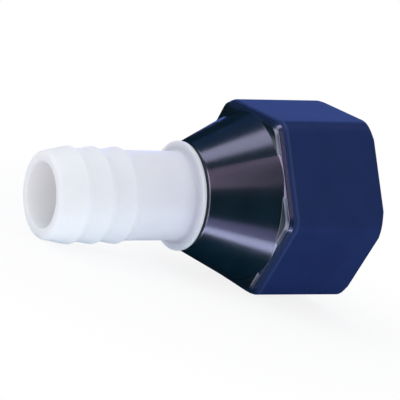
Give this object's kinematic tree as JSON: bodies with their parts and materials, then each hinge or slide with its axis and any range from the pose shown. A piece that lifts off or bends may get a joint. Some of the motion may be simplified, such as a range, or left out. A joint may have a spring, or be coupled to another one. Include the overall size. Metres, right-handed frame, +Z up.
{
  "type": "swivel hose barb fitting",
  "caption": "Straight plastic hose barb with a flanged stem, held in a free-turning hexagonal swivel nut with a conical nose, a female thread and a flat sealing washer.",
  "frame": {"origin": "on the floor, under the centre of the bounding box of the fitting as it lies at rest", "axes": "+Z up, +X towards the nut's raised open end; the fitting's own axis lies in the XZ plane, 11.80 degrees from X, with the barb's mouth down at -X"},
  "size_m": [0.0536, 0.0314, 0.0304],
  "materials": {
    "nut_plastic": "glossy navy blue moulded nylon",
    "tail_plastic": "milky white moulded nylon, satin",
    "washer_rubber": "dull black rubber"
  },
  "bodies": {
    "nut": {"swivel_nut": "nut_plastic", "sealing_washer": "washer_rubber"},
    "tail": {"barb_tail": "tail_plastic"}
  },
  "joints": [
    {"name": "nut_swivel", "type": "hinge", "parent": "nut", "child": "tail", "pos_m": [0.00316, 0, 0.01232], "axis": [0.9789, 0, 0.2045], "continuous": true}
  ]
}
